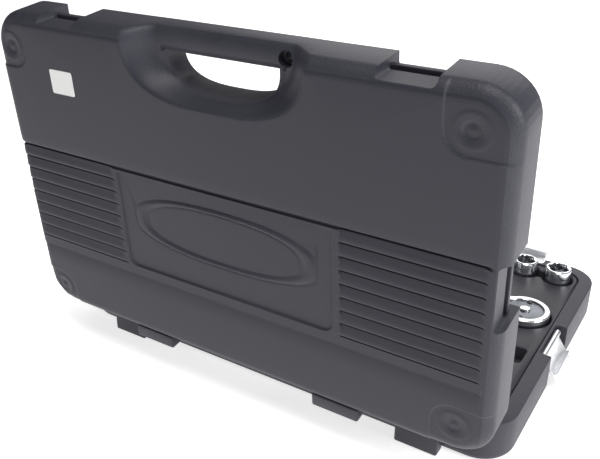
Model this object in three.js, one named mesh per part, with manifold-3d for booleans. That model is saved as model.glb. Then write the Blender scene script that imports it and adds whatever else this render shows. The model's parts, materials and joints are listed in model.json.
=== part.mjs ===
// Socket wrench set in a hinged carrying case, millimetres, +Z up.
// The origin is the centre of the base's underside. The hinge runs along X at the -Y side,
// the carrying handle and the two front latches are at the +Y side. The lid stands open.
import * as THREE from 'three';
import { mergeVertices } from 'three/addons/utils/BufferGeometryUtils.js';
import Module from 'manifold-3d';

const wasm = await Module();
wasm.setup();

// ---------------------------------------------------------------- driving dimensions

const caseWidth = 560;
const caseLength = 366;
const baseDepth = 48;
const lidDepth = 50;
const wall = 3;
const facePlate = 5.5; // the lid's outer panel, thick enough for its relief
const cornerRadius = 38;
const baseEdge = 9;
const lidEdge = 15;
const rimWidth = 16; // flat rim between the outer wall and the liner or tray
const seamGap = 0.5; // between the closed halves
const fitGap = 0.4; // between parts that drop into each other
const lidOpening = 95; // degrees, where the hinge stops

const hingeReach = 7; // pivot axis behind the rear walls
const hingePinRadius = 2.2;
const hingeBarrelRadius = 6.5;
const footReach = 14;

const pinClearance = 0.4; // radial, latch and hinge pins in their barrels
const latchInset = 9; // latch pivot inside the outer wall
const latchDrop = 6; // latch pivot below the base's rim
const notchDepth = 13.5;
const latchPinRadius = 1.5;
const latchBarrelRadius = 3.5;
const latchLength = 41;
const latchHookHeight = 23.8;
const sheet = 1.8;

const gripHalfWidth = 62; // opening for the fingers
const gripBar = 22; // front to back
const gripOpening = 37; // straight side to the deepest point of the curve
const scoopHalfWidth = 104;
const scoopDepth = 60;
const gripHeight = 28; // of each half's bar above the seam

const trayWall = 2.4;
const trayTop = baseDepth - 1.5;
const dishDepth = 22; // of the lid liner above the seam

const driveSquare = 18.8; // male square, across flats
const driveFit = 0.4; // female square over male square
const socketHeight = 56;
const wellClearance = 2; // radial, around every tool in the tray

// ---------------------------------------------------------------- places

const pivotY = -caseLength / 2 - hingeReach;
const pivotZ = baseDepth + seamGap / 2;
const lidSeam = baseDepth + seamGap;
const wellFloor = wall + fitGap + trayWall; // top of the deepest tray floor
const toolFloor = wellFloor + 0.5;
const trayEdgeX = caseWidth / 2 - rimWidth - fitGap;
const trayEdgeY = caseLength / 2 - rimWidth - fitGap;
const handleZoneHalf = scoopHalfWidth + wall + 2;
const handleZoneY = caseLength / 2 - scoopDepth - wall - 6;

const frontLatchX = 187;
const sideLatchY = 1;
const frontLatch = { width: 45, notch: 51, open: 70 };
const sideLatch = { width: 56, notch: 66, open: 140 };

// ---------------------------------------------------------------- materials

function material(color, roughness, metalness) {
  return new THREE.MeshStandardMaterial({ color, roughness, metalness });
}

const casePlastic = material(0x4a4a53, 0.55, 0);
const trayPlastic = material(0x46464e, 0.6, 0);
const chrome = material(0xd9dbdf, 0.12, 1);
const satinSteel = material(0x8d9095, 0.35, 1);
const darkSteel = material(0x55585d, 0.4, 1);
const labelVinyl = material(0xf2f2f0, 0.5, 0);

// ---------------------------------------------------------------- solids

function toSolid(geometry) {
  const bare = geometry.clone();
  bare.deleteAttribute('normal');
  bare.deleteAttribute('uv');
  const merged = mergeVertices(bare, 1e-4);
  const corners = [];
  for (let i = 0; i < merged.index.count; i += 3) {
    const [a, b, c] = [0, 1, 2].map((k) => merged.index.getX(i + k));
    if (a !== b && b !== c && c !== a) corners.push(a, b, c);
  }
  const vertProperties = new Float32Array(merged.attributes.position.array);
  const triVerts = new Uint32Array(corners);
  return new wasm.Manifold(new wasm.Mesh({ numProp: 3, vertProperties, triVerts }));
}

function toGeometry(solid) {
  const mesh = solid.getMesh();
  const geometry = new THREE.BufferGeometry();
  geometry.setAttribute('position', new THREE.BufferAttribute(mesh.vertProperties, 3));
  geometry.setIndex(new THREE.BufferAttribute(mesh.triVerts, 1));
  geometry.computeVertexNormals();
  return geometry;
}

const union = (solids) => solids.reduce((a, b) => a.add(b));
const cutAll = (solid, cutters) => cutters.reduce((a, b) => a.subtract(b), solid);

function box(x0, x1, y0, y1, z0, z1) {
  const geometry = new THREE.BoxGeometry(x1 - x0, y1 - y0, z1 - z0);
  geometry.translate((x0 + x1) / 2, (y0 + y1) / 2, (z0 + z1) / 2);
  return toSolid(geometry);
}

// An upright prism over an outline of [x, y] points.
function prism(points, z0, z1) {
  const shape = new THREE.Shape(points.map(([x, y]) => new THREE.Vector2(x, y)));
  const geometry = new THREE.ExtrudeGeometry(shape, { depth: z1 - z0, bevelEnabled: false });
  geometry.translate(0, 0, z0);
  return toSolid(geometry);
}

// A prism along X over an outline of [y, z] points.
function prismX(points, x0, x1) {
  const shape = new THREE.Shape(points.map(([y, z]) => new THREE.Vector2(y, z)));
  const geometry = new THREE.ExtrudeGeometry(shape, { depth: x1 - x0, bevelEnabled: false });
  geometry.rotateY(Math.PI / 2).rotateX(Math.PI / 2);
  geometry.translate(x0, 0, 0);
  return toSolid(geometry);
}

// A solid of revolution about Z, from [radius, z] points that start and end on the axis.
function turned(profile, segments = 16) {
  const points = profile.map(([r, z]) => new THREE.Vector2(r, z));
  const geometry = new THREE.LatheGeometry(points, segments);
  geometry.rotateX(Math.PI / 2);
  return toSolid(geometry);
}

function disc(x, y, radius, z0, z1, segments = 16) {
  return turned([[0, z0], [radius, z0], [radius, z1], [0, z1]], segments).translate([x, y, 0]);
}

// A round bar along X.
function barX(x0, x1, y, z, radius, segments = 16) {
  const geometry = new THREE.CylinderGeometry(radius, radius, x1 - x0, segments);
  geometry.rotateZ(Math.PI / 2).translate((x0 + x1) / 2, y, z);
  return toSolid(geometry);
}

// A solid through a stack of outlines with equal point counts, lowest first.
function loft(sections) {
  const count = sections[0].points.length;
  const positions = sections.flatMap(({ points, z }) => points.flatMap(([x, y]) => [x, y, z]));
  const index = [];
  for (let s = 0; s < sections.length - 1; s += 1) {
    for (let i = 0; i < count; i += 1) {
      const [a, b] = [s * count + i, s * count + ((i + 1) % count)];
      index.push(a, b, b + count, a, b + count, a + count);
    }
  }
  const outline = sections[0].points.map(([x, y]) => new THREE.Vector2(x, y));
  const top = (sections.length - 1) * count;
  for (const [a, b, c] of THREE.ShapeUtils.triangulateShape(outline, [])) {
    index.push(c, b, a, top + a, top + b, top + c);
  }
  const geometry = new THREE.BufferGeometry();
  geometry.setAttribute('position', new THREE.Float32BufferAttribute(positions, 3));
  geometry.setIndex(index);
  return toSolid(geometry);
}

// ---------------------------------------------------------------- outlines

function roundedRect(x0, x1, y0, y1, radius, segments = 4) {
  const centres = [
    [x1 - radius, y0 + radius],
    [x1 - radius, y1 - radius],
    [x0 + radius, y1 - radius],
    [x0 + radius, y0 + radius],
  ];
  return centres.flatMap(([cx, cy], corner) =>
    Array.from({ length: segments + 1 }, (_, i) => {
      const angle = ((corner - 1 + i / segments) * Math.PI) / 2;
      return [cx + radius * Math.cos(angle), cy + radius * Math.sin(angle)];
    }),
  );
}

function casePlan(inset) {
  const [x, y] = [caseWidth / 2 - inset, caseLength / 2 - inset];
  return roundedRect(-x, x, -y, y, Math.max(cornerRadius - inset, 4));
}

// A straight side towards +Y and a full curve towards -Y.
function dShape(halfWidth, straightY, depth, segments = 10) {
  const fullness = 2 / 2.8;
  return Array.from({ length: segments + 1 }, (_, i) => {
    const angle = (i / segments) * Math.PI;
    const x = -Math.sign(Math.cos(angle)) * Math.abs(Math.cos(angle)) ** fullness * halfWidth;
    return [x, straightY - Math.sin(angle) ** fullness * depth];
  });
}

function polygonAt(x, y, radius, sides, turn = 0) {
  return Array.from({ length: sides }, (_, i) => {
    const angle = turn + (i / sides) * 2 * Math.PI;
    return [x + radius * Math.cos(angle), y + radius * Math.sin(angle)];
  });
}

const squareOutline = (side) => polygonAt(0, 0, side / Math.SQRT2, 4, Math.PI / 4);

// ---------------------------------------------------------------- case halves

// One half is modelled by heights above its mating plane: side +1 is the lid, -1 the base.
function half(side, mate) {
  const span = (h0, h1) => [mate + side * h0, mate + side * h1].sort((a, b) => a - b);
  const stack = (sections) =>
    loft(sections.map(({ points, h }) => ({ points, z: mate + side * h })).sort((a, b) => a.z - b.z));
  return {
    block: (x0, x1, y0, y1, h0, h1) => box(x0, x1, y0, y1, ...span(h0, h1)),
    plate: (points, h0, h1) => prism(points, ...span(h0, h1)),
    round: (x, y, radius, h0, h1, segments = 16) => disc(x, y, radius, ...span(h0, h1), segments),
    stack,
  };
}

// The outer form of one half: straight walls and a rounded outer edge.
function outerForm(on, inset, depth, edge, from = 0) {
  const steps = 3;
  const sections = [{ points: casePlan(inset), h: from }];
  for (let i = 0; i <= steps; i += 1) {
    const angle = (i / steps) * (Math.PI / 2);
    const shrink = edge * (1 - Math.cos(angle));
    sections.push({ points: casePlan(inset + shrink), h: depth - edge + edge * Math.sin(angle) });
  }
  return on.stack(sections);
}

function latchPockets(on, grow, deepTo, fullTo) {
  const outside = 20;
  const inner = notchDepth + grow;
  const shallow = 8 + grow;
  const pockets = [];
  for (const sign of [-1, 1]) {
    const x = sign * frontLatchX;
    const halfFront = frontLatch.notch / 2 + grow;
    const front = caseLength / 2;
    pockets.push(on.block(x - halfFront, x + halfFront, front - inner, front + outside, -2, deepTo + grow));
    pockets.push(on.block(x - halfFront, x + halfFront, front - shallow, front + outside, -2, fullTo));
    const halfSide = sideLatch.notch / 2 + grow;
    const edge = caseWidth / 2;
    const [y0, y1] = [sideLatchY - halfSide, sideLatchY + halfSide];
    const deep = [sign * (edge - inner), sign * (edge + outside)].sort((a, b) => a - b);
    const rest = [sign * (edge - shallow), sign * (edge + outside)].sort((a, b) => a - b);
    pockets.push(on.block(...deep, y0, y1, -2, deepTo + grow));
    pockets.push(on.block(...rest, y0, y1, -2, fullTo));
  }
  return pockets;
}

const eye = { x: 70, y: caseLength / 2 - 12, radius: 4.5, counterbore: 7.5, land: 20 };

// Finger opening, scoop on the outer side of the bar, and the padlock eye beside it.
function gripCuts(on, grow, depth) {
  const front = caseLength / 2;
  const straight = front - gripBar;
  const bottom = scoopDepth + grow;
  const outer = dShape(scoopHalfWidth + grow, front + 2, bottom + 2);
  const inner = dShape(gripHalfWidth + 12 + grow, front + 2, bottom - 1);
  const through = dShape(gripHalfWidth + grow, straight + grow, gripOpening + 2 * grow);
  return [
    on.stack([
      { points: inner, h: gripHeight - grow },
      { points: outer, h: depth + 1 },
    ]),
    on.plate(through, -2, depth + 1),
    on.round(eye.x, eye.y, eye.radius + grow, -2, depth + 1),
    on.round(eye.x, eye.y, eye.counterbore + grow, eye.land - grow, depth + 1),
  ];
}

// The rim's inner outline, which stops short of the grip.
function mouth(on, gap, h0, h1, inset = rimWidth) {
  const opening = on.plate(casePlan(inset + gap), h0, h1);
  const beyond = caseLength;
  const keep = handleZoneHalf + gap;
  return opening.subtract(on.block(-keep, keep, handleZoneY - gap, beyond, h0 - 1, h1 + 1));
}

function caseHalf(side, mate, depth, edge, facePanel, deepTo) {
  const on = half(side, mate);
  const body = cutAll(outerForm(on, 0, depth, edge), [
    ...latchPockets(on, 0, deepTo, depth + 1),
    ...gripCuts(on, 0, depth),
  ]);
  const hollow = cutAll(outerForm(on, wall, depth - facePanel, edge - wall, wall), [
    ...latchPockets(on, wall - 0.5, deepTo, depth + 1),
    ...gripCuts(on, wall, depth),
  ]);
  return body.subtract(hollow).subtract(mouth(on, 0, -1, wall + 1));
}

// Feet on the hinge side, which the closed case stands on, and the hinge barrels beside them.
const lidBarrel = [92, 145];
const baseBarrel = [149, 217];
const baseFoot = [170, 217];

function rearFoot([x0, x1], z0, z1) {
  const wallY = -caseLength / 2;
  return box(x0, x1, wallY - footReach, wallY + 2, z0, z1);
}

function hingeBarrel([x0, x1], side) {
  const web = [pivotZ + side * 0.5, pivotZ + side * hingeBarrelRadius].sort((a, b) => a - b);
  const barrel = barX(x0, x1, pivotY, pivotZ, hingeBarrelRadius);
  return barrel.add(box(x0, x1, pivotY, pivotY + hingeReach + 1, ...web));
}

const mirrored = ([x0, x1]) => [-x1, -x0];

function hingeHoles() {
  const reach = baseBarrel[1] + 1;
  const radius = hingePinRadius + pinClearance;
  return [-1, 1].map((s) => {
    const span = [s * (lidBarrel[0] - 1), s * reach].sort((a, b) => a - b);
    return barX(...span, pivotY, pivotZ, radius);
  });
}

// ---------------------------------------------------------------- base

const latchZ = baseDepth - latchDrop;

function latchPinHoles() {
  const radius = latchPinRadius + pinClearance;
  const frontY = caseLength / 2 - latchInset;
  const holes = [-1, 1].map((s) => {
    const x = s * frontLatchX;
    const reach = frontLatch.notch / 2 + wall + 1;
    return barX(x - reach, x + reach, frontY, latchZ, radius, 12);
  });
  const sideX = caseWidth / 2 - latchInset;
  const reach = sideLatch.notch / 2 + wall + 1;
  const sideHoles = [-1, 1].map((s) =>
    barX(-reach, reach, 0, latchZ, radius, 12).rotate([0, 0, 90]).translate([s * sideX, sideLatchY, 0]),
  );
  return [...holes, ...sideHoles];
}

function baseShell() {
  const shell = caseHalf(-1, baseDepth, baseDepth, baseEdge, wall, baseDepth + 1);
  const parts = [shell];
  for (const flip of [(span) => span, mirrored]) {
    parts.push(rearFoot(flip(baseFoot), 0, 26));
    parts.push(hingeBarrel(flip(baseBarrel), -1));
  }
  return cutAll(union(parts), [...hingeHoles(), ...latchPinHoles()]);
}

// ---------------------------------------------------------------- lid

const panel = {
  step: 32, // y of the groove under the upper zone
  band: -88, // y of the raised band's upper edge
  low: -100, // y of the lower zone's upper edge
  relief: 2.5,
  centre: [-134, 122],
  leftRibs: [-268, -141],
  rightRibs: [130, 263],
  ribs: 8,
};

// Sloping louvres: each is proud at its lower edge and runs back to the next one.
function louvreCut([x0, x1], top) {
  const pitch = (panel.step - panel.band) / panel.ribs;
  const points = [[panel.band, top + 1]];
  for (let i = 0; i < panel.ribs; i += 1) {
    const y = panel.band + i * pitch;
    points.push([y, top - panel.relief * 0.1], [y + pitch * 0.92, top - panel.relief], [y + pitch, top - panel.relief]);
  }
  points.push([panel.step, top + 1]);
  return prismX(points.reverse(), x0, x1);
}

function lidRelief(on) {
  const top = lidSeam + lidDepth;
  const groove = 2.5;
  const [c0, c1] = panel.centre;
  const dimples = [[-256, -159], [245, -148], [243, 147], [-256, 147]];
  return [
    louvreCut(panel.leftRibs, top),
    louvreCut(panel.rightRibs, top),
    on.plate(roundedRect(c0, c1, panel.band, panel.step - 4, 12, 3), lidDepth - panel.relief, lidDepth + 1),
    on.block(-caseWidth / 2, 263, panel.step - 1, panel.step - 1 + groove, lidDepth - 1.5, lidDepth + 1),
    on.block(-caseWidth, caseWidth, -caseLength, panel.low, lidDepth - 1.2, lidDepth + 1),
    ...dimples.map(([x, y]) => on.round(x, y, 8, lidDepth - 2.2, lidDepth + 1, 14)),
  ];
}

// The ridges that the latch hooks catch on, inside the lid's latch notches.
function catchRidges(on) {
  const topOfRidge = latchZ + latchHookHeight - 0.6 - lidSeam;
  const [h0, h1] = [topOfRidge - 6, topOfRidge];
  const reach = notchDepth - latchInset + 2;
  const frontWall = caseLength / 2 - notchDepth;
  const sideWall = caseWidth / 2 - notchDepth;
  const [halfFront, halfSide] = [frontLatch.notch / 2 + 1, sideLatch.notch / 2 + 1];
  return [-1, 1].flatMap((s) => {
    const x = s * frontLatchX;
    const span = [s * (sideWall - 1), s * (sideWall + reach)].sort((a, b) => a - b);
    return [
      on.block(x - halfFront, x + halfFront, frontWall - 1, frontWall + reach, h0, h1),
      on.block(...span, sideLatchY - halfSide, sideLatchY + halfSide, h0, h1),
    ];
  });
}

function lidShell() {
  const on = half(1, lidSeam);
  const deepNotch = 24;
  const shell = caseHalf(1, lidSeam, lidDepth, lidEdge, facePlate, deepNotch);
  const parts = [cutAll(shell, lidRelief(on)), ...catchRidges(on)];
  const top = lidSeam + lidDepth;
  for (const flip of [(span) => span, mirrored]) {
    parts.push(rearFoot(flip(lidBarrel), top - 34, top - 6));
    parts.push(hingeBarrel(flip(lidBarrel), 1));
  }
  return cutAll(union(parts), hingeHoles());
}

// A thin tray in the lid's mouth, dished so that it clears the tools.
function lidLiner() {
  const on = half(1, lidSeam);
  const flange = 3;
  const lip = mouth(on, fitGap, 0.3, 0.3 + trayWall);
  const dish = mouth(on, flange - trayWall + fitGap, 0.3, dishDepth + trayWall);
  const inside = mouth(on, flange + fitGap, -1, dishDepth);
  return lip.add(dish).subtract(inside);
}

const label = { x: -187, y: 117, width: 31, height: 26, thick: 0.4 };

function labelPlate() {
  const z = lidSeam + lidDepth + 0.1;
  const [w, h] = [label.width / 2, label.height / 2];
  return prism(roundedRect(label.x - w, label.x + w, label.y - h, label.y + h, 2, 2), z, z + label.thick);
}

// ---------------------------------------------------------------- latch, pivot along X at the origin

function latchPlate(width) {
  const l = latchLength;
  const outer = [[3.4, -1], [5.2, 8], [6.4, 18], [6.6, 28], [8.6, l - 4], [10.5, l]];
  const inner = outer.map(([y, z], i) => [y - sheet + (i === 5 ? 0.3 : 0), z + (i === 5 ? 0.6 : 0.3)]);
  const plate = prismX([...outer, ...inner.reverse()], -width / 2, width / 2);
  const barrel = barX(-width / 2, width / 2, 0, 0, latchBarrelRadius, 16);
  const hook = box(-width / 2, width / 2, -1, 5.5, latchHookHeight, latchHookHeight + 2);
  const hole = barX(-width, width, 0, 0, latchPinRadius + pinClearance, 12);
  return plate.add(barrel).add(hook).subtract(hole);
}

// ---------------------------------------------------------------- tools

const noseRadius = (acrossFlats) => acrossFlats * 0.62 + 2.2;
const smallestDriveEnd = 17.5;
const driveEndRadius = (flats) => Math.max(smallestDriveEnd, noseRadius(flats) * 0.88);
const socketRadius = (flats) => Math.max(noseRadius(flats), driveEndRadius(flats));

function socket(flats) {
  const [nose, drive, top] = [noseRadius(flats), driveEndRadius(flats), socketHeight];
  const body = turned([
    [0, 0], [drive, 0], [drive, 21],
    [nose, 30], [nose, top - 1], [nose - 1, top], [0, top],
  ]);
  const female = driveSquare + driveFit;
  return cutAll(body, [
    prism(polygonAt(0, 0, flats / Math.sqrt(3), 6), 32, top + 1),
    prism(squareOutline(female), -1, 22),
    disc(0, 0, Math.min(8, flats * 0.42), -1, top + 1, 12),
  ]);
}

// A male square along -Z from its root at z = 0, with a chamfered tip.
function maleSquare(side, length) {
  return loft([
    { points: squareOutline(side - 2.4), z: -length },
    { points: squareOutline(side), z: -length + 1.6 },
    { points: squareOutline(side), z: 0.5 },
  ]);
}

const squareLength = 20;

// An extension bar along X: the female end at x = 0, the male square at x = length.
function extensionBar(length) {
  const female = { radius: 16.5, length: 34 };
  const collar = { radius: 13, length: 14 };
  const shank = 10.5;
  const end = length - squareLength;
  const body = turned([
    [0, 0], [female.radius - 1, 0], [female.radius, 1], [female.radius, female.length - 6],
    [shank, female.length], [shank, end - collar.length - 3], [collar.radius, end - collar.length],
    [collar.radius, end - 1], [collar.radius - 1, end], [0, end],
  ]);
  const square = maleSquare(driveSquare, squareLength).rotate([180, 0, 0]).translate([0, 0, end]);
  const hole = prism(squareOutline(driveSquare + driveFit), -1, 24);
  return body.add(square).subtract(hole).rotate([0, 90, 0]);
}

function driveAdapter() {
  const small = 12.6;
  const body = turned([[0, 0], [16, 0], [17, 1], [17, 24], [11, 33], [0, 33]]);
  const square = maleSquare(small, 15).rotate([180, 0, 0]).translate([0, 0, 33]);
  return body.add(square).subtract(prism(squareOutline(driveSquare + driveFit), -1, 22));
}

// ---------------------------------------------------------------- ratchet, head axis along Z at the origin

const gearBoss = driveSquare / Math.SQRT2 + 0.8; // clear of the square's corners
const head = { radius: 29, bottom: 26.5, top: 54, gearRoom: 16, coverRadius: 22, coverDrop: 1.5 };
const ratchetHandle = { length: 484, neck: 75, radius: 11, grip: 13.5, gripFrom: 340, z: 40.25 };
const lever = { x: -24, shaft: 3, arm: 11.5 };
const button = { radius: 6, rod: 3.2 };
const gearBottom = head.bottom + 3;
const coverBottom = head.top - 4.5;
const gearTop = coverBottom - 0.5;
const coverTop = head.top - head.coverDrop;
const screwRadius = 19;

// Circle of the head drawn out into the neck.
function pear(radius, neckX, neckHalf) {
  const steps = 14;
  const start = Math.PI * 0.74;
  const arc = Array.from({ length: steps + 1 }, (_, i) => {
    const angle = -start + (2 * start * i) / steps;
    return [radius * Math.cos(angle), radius * Math.sin(angle)];
  });
  return [...arc, [neckX, neckHalf], [neckX, -neckHalf]];
}

function ratchetBody() {
  const { length, neck, radius, grip, gripFrom, z } = ratchetHandle;
  const forged = prism(pear(head.radius, -neck, radius), head.bottom, head.top);
  const shaft = turned([
    [0, neck - 15], [radius, neck - 15], [radius, gripFrom - 8], [grip, gripFrom],
    [grip, length - 2], [grip - 2, length], [0, length],
  ]).rotate([0, -90, 0]).translate([0, 0, z]);
  return cutAll(forged.add(shaft), [
    disc(0, 0, head.gearRoom, gearBottom, head.top, 20),
    box(-35, 0, -8.5, 8.5, gearBottom, head.top),
    disc(0, 0, gearBoss + 0.5, head.bottom - 1, head.top, 20),
    disc(0, 0, head.coverRadius, coverBottom, head.top + 1, 20),
    box(-37, 0, -11, 11, coverBottom, head.top + 1),
    ...[-1, 1].map((s) => disc(0, s * screwRadius, 1.9, 34, head.top, 10)),
  ]);
}

function ratchetCover() {
  const plate = disc(0, 0, head.coverRadius - fitGap, coverBottom + 0.3, coverTop, 20)
    .add(box(-37 + fitGap, 0, -11 + fitGap, 11 - fitGap, coverBottom + 0.3, coverTop));
  return cutAll(plate, [
    disc(0, 0, button.radius + fitGap, 0, 99, 14),
    disc(lever.x, 0, lever.shaft + fitGap, 0, 99, 12),
    ...[-1, 1].map((s) => disc(0, s * screwRadius, 1.9, 0, 99, 10)),
  ]);
}

const ballZ = head.bottom - 12;
const ballRadius = 2.4;

function ratchetGear() {
  const teeth = 16;
  const outline = Array.from({ length: teeth * 2 }, (_, i) => {
    const r = i % 2 ? 15.2 : 13.4;
    const angle = (i / (teeth * 2)) * 2 * Math.PI;
    return [r * Math.cos(angle), r * Math.sin(angle)];
  });
  const wheel = prism(outline, gearBottom + 0.3, gearTop);
  const boss = disc(0, 0, gearBoss, head.bottom - 0.5, gearBottom + 0.5, 20);
  const square = maleSquare(driveSquare, squareLength).translate([0, 0, head.bottom]);
  return cutAll(wheel.add(boss).add(square), [
    disc(0, 0, button.rod + fitGap, ballZ - 4, gearTop + 1, 12),
    barX(0, driveSquare, 0, ballZ, ballRadius + 0.3, 12),
  ]);
}

const releaseButton = () => turned([
  [0, ballZ + 4.5], [button.rod - 1, ballZ + 4.5], [button.rod, ballZ + 6], [button.rod, coverBottom + 2.3],
  [button.radius, coverBottom + 2.3], [button.radius, head.top], [button.radius - 1, head.top + 1], [0, head.top + 1],
], 16);

const detentBall = () => toSolid(new THREE.SphereGeometry(ballRadius, 8, 6));

const pawl = () => prism(roundedRect(-29, -18.6, -5.5, 5.5, 2, 2), gearBottom + 0.3, gearTop)
  .subtract(disc(lever.x, 0, lever.shaft + 0.3, 0, 99, 12));

function directionLever() {
  const shaft = disc(lever.x, 0, lever.shaft, gearBottom + 2, coverTop + 2, 12);
  const [low, high] = [coverTop + 0.4, coverTop + 4];
  const knob = disc(lever.x, 0, 5.5, low, high, 14).add(box(lever.x - lever.arm, lever.x, -2.5, 2.5, low, high));
  return shaft.add(knob);
}

const coverScrew = () => turned([
  [0, 36], [1.5, 36], [1.5, coverTop + 0.3], [3, coverTop + 0.3], [3, coverTop + 1.2], [2.2, coverTop + 1.8], [0, coverTop + 1.8],
], 12);

class Helix extends THREE.Curve {
  constructor(radius, length, turns) {
    super();
    Object.assign(this, { radius, length, turns });
  }

  getPoint(t, target = new THREE.Vector3()) {
    const angle = t * this.turns * 2 * Math.PI;
    return target.set(t * this.length, this.radius * Math.cos(angle), this.radius * Math.sin(angle));
  }
}

function pawlSpring() {
  const section = new THREE.Shape(polygonAt(0, 0, 0.35, 5).map(([x, y]) => new THREE.Vector2(x, y)));
  const path = new Helix(1.8, 3.6, 3);
  const geometry = new THREE.ExtrudeGeometry(section, { steps: 21, extrudePath: path, bevelEnabled: false });
  return toSolid(geometry);
}

// ---------------------------------------------------------------- sliding T-bar

const bar = { radius: 9.5, length: 452, y: -1.5, z: 42 };
const tHead = { radius: 19, x: 150, bottom: 26.5, top: 58 };

function slidingBar() {
  const reach = bar.length / 2;
  return barX(-reach, reach, 0, 0, bar.radius);
}

function slidingHead() {
  const { radius, bottom, top } = tHead;
  const body = turned([
    [0, bottom], [radius, bottom], [radius, top - 3], [radius - 3, top], [0, top],
  ]);
  const square = maleSquare(driveSquare, squareLength).translate([0, 0, bottom]);
  return body.add(square).subtract(barX(-radius - 1, radius + 1, 0, bar.z, bar.radius + fitGap));
}

// ---------------------------------------------------------------- layout of the tools in the tray

// Distances in from the tray's edges to the tools nearest them.
const inset = { ratchet: 35.6, longExtension: 6.6, frontRow: 25.6, rearRow: 48.6 };
const extensionSpacing = 9; // between the two bars' ends

const ratchetPlace = { x: trayEdgeX - inset.ratchet, y: 40 };
const extensionY = -45.5;
const longExtension = { x: inset.longExtension - trayEdgeX, length: 400 };
const shortExtension = { x: longExtension.x + longExtension.length + extensionSpacing, length: 100 };
const extensionZ = 24;
const adapterPlace = { x: -131.5, y: 84 };
const rearRowY = inset.rearRow - trayEdgeY;

const frontRowSides = [[1, [22, 21, 24]], [-1, [17, 19, 23]]]; // from the outer end inwards
const frontRowEnd = trayEdgeX - inset.frontRow;
const frontRowPitch = 42;
const frontRow = frontRowSides.flatMap(([s, sizes]) =>
  sizes.map((flats, i) => [s * (frontRowEnd - i * frontRowPitch), flats]),
);
const middleRow = [[165, 98, 26], [116, 88, 30], [65.5, 84, 29], [16, 84, 28], [-32.5, 84, 27], [-83, 86, 31], [-180, 88, 32], [-235, 88, 33]];
const rearRow = [35, 36, 38, 41, 46, 50, 55];

function rearRowPlaces() {
  const pitchGap = 2 * (wellClearance + trayWall);
  const total = rearRow.reduce((sum, flats) => sum + 2 * socketRadius(flats) + pitchGap, 0);
  const spare = (2 * trayEdgeX - total) / (rearRow.length + 1);
  let x = trayEdgeX - spare;
  return rearRow.map((flats) => {
    const halfPitch = socketRadius(flats) + pitchGap / 2;
    const place = [x - halfPitch, rearRowY, flats];
    x -= 2 * halfPitch + spare;
    return place;
  });
}

const frontRowY = trayEdgeY - trayWall - wellClearance - socketRadius(24);
const sockets = [
  ...frontRow.map(([x, flats]) => [x, frontRowY, flats]),
  ...middleRow,
  ...rearRowPlaces(),
].map(([x, y, flats]) => ({ x, y, flats, name: `socket_${flats}mm` }));

// ---------------------------------------------------------------- tray

// Every well is a hollow and the thin wall around it.
function wells() {
  const hollows = [];
  const walls = [];
  const roundWell = (x, y, radius, floor = wellFloor) => {
    hollows.push(disc(x, y, radius, floor, trayTop + 1, 14));
    walls.push(disc(x, y, radius + trayWall, floor - trayWall, trayTop - 0.1, 14));
  };
  const slot = (x0, x1, y0, y1, floor, radius = 4) => {
    const t = trayWall;
    hollows.push(prism(roundedRect(x0, x1, y0, y1, radius, 2), floor, trayTop + 1));
    walls.push(prism(roundedRect(x0 - t, x1 + t, y0 - t, y1 + t, radius + t, 2), floor - t, trayTop - 0.1));
  };
  for (const { x, y, flats } of sockets) roundWell(x, y, socketRadius(flats) + wellClearance);
  roundWell(adapterPlace.x, adapterPlace.y, 17 + wellClearance);

  const { x: rx, y: ry } = ratchetPlace;
  const { length, neck, grip, z } = ratchetHandle;
  const bed = z - grip - 1.5;
  const side = grip + wellClearance + 1;
  roundWell(rx, ry, 17);
  roundWell(rx, ry, head.radius + 2.5, bed);
  slot(rx - neck, rx, ry - 24, ry + 24, bed, 8);
  slot(rx - length - wellClearance, rx - neck + 10, ry - side, ry + side, bed);

  const reach = bar.length / 2 + 1.5;
  const track = tHead.radius + 1.5;
  const trackEnd = reach - 14;
  slot(-reach, reach, bar.y - bar.radius - 1, bar.y + bar.radius + 1, bar.z - bar.radius - 0.6);
  slot(-trackEnd, trackEnd, bar.y - track, bar.y + track, wellFloor);

  for (const { x, length: long } of [longExtension, shortExtension]) {
    const femaleSide = 16.5 + wellClearance;
    slot(x - 1.5, x + 40, extensionY - femaleSide, extensionY + femaleSide, extensionZ - 17);
    slot(x + 20, x + long + 1.5, extensionY - 15, extensionY + 15, extensionZ - 15);
  }
  return { hollows, walls };
}

// The socket wells of the front row open into one shared trough on each side.
const troughFrom = frontRowEnd - 2 * frontRowPitch;

function troughs() {
  return [-1, 1].map((s) => {
    const [x0, x1] = [s * troughFrom, s * frontRowEnd].sort((a, b) => a - b);
    return box(x0, x1, frontRowY - 8, frontRowY + 8, trayTop - 14, trayTop + 1);
  });
}

function troughWalls() {
  return [-1, 1].map((s) => {
    const [x0, x1] = [s * troughFrom, s * frontRowEnd].sort((a, b) => a - b);
    const t = trayWall;
    return box(x0, x1, frontRowY - 8 - t, frontRowY + 8 + t, trayTop - 14 - t, trayTop - 0.1);
  });
}

function toolTray() {
  const on = half(-1, baseDepth);
  const plate = mouth(on, fitGap, baseDepth - trayTop, baseDepth - trayTop + trayWall);
  const { hollows, walls } = wells();
  return cutAll(union([plate, ...walls, ...troughWalls()]), [...hollows, ...troughs()]);
}

// ---------------------------------------------------------------- assembly

const set = new THREE.Group();

function add(name, solid, look, parent = set) {
  const mesh = new THREE.Mesh(toGeometry(solid), look);
  mesh.name = name;
  parent.add(mesh);
  return mesh;
}

add('base_shell', baseShell(), casePlastic);
add('tool_tray', toolTray(), trayPlastic);

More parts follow.
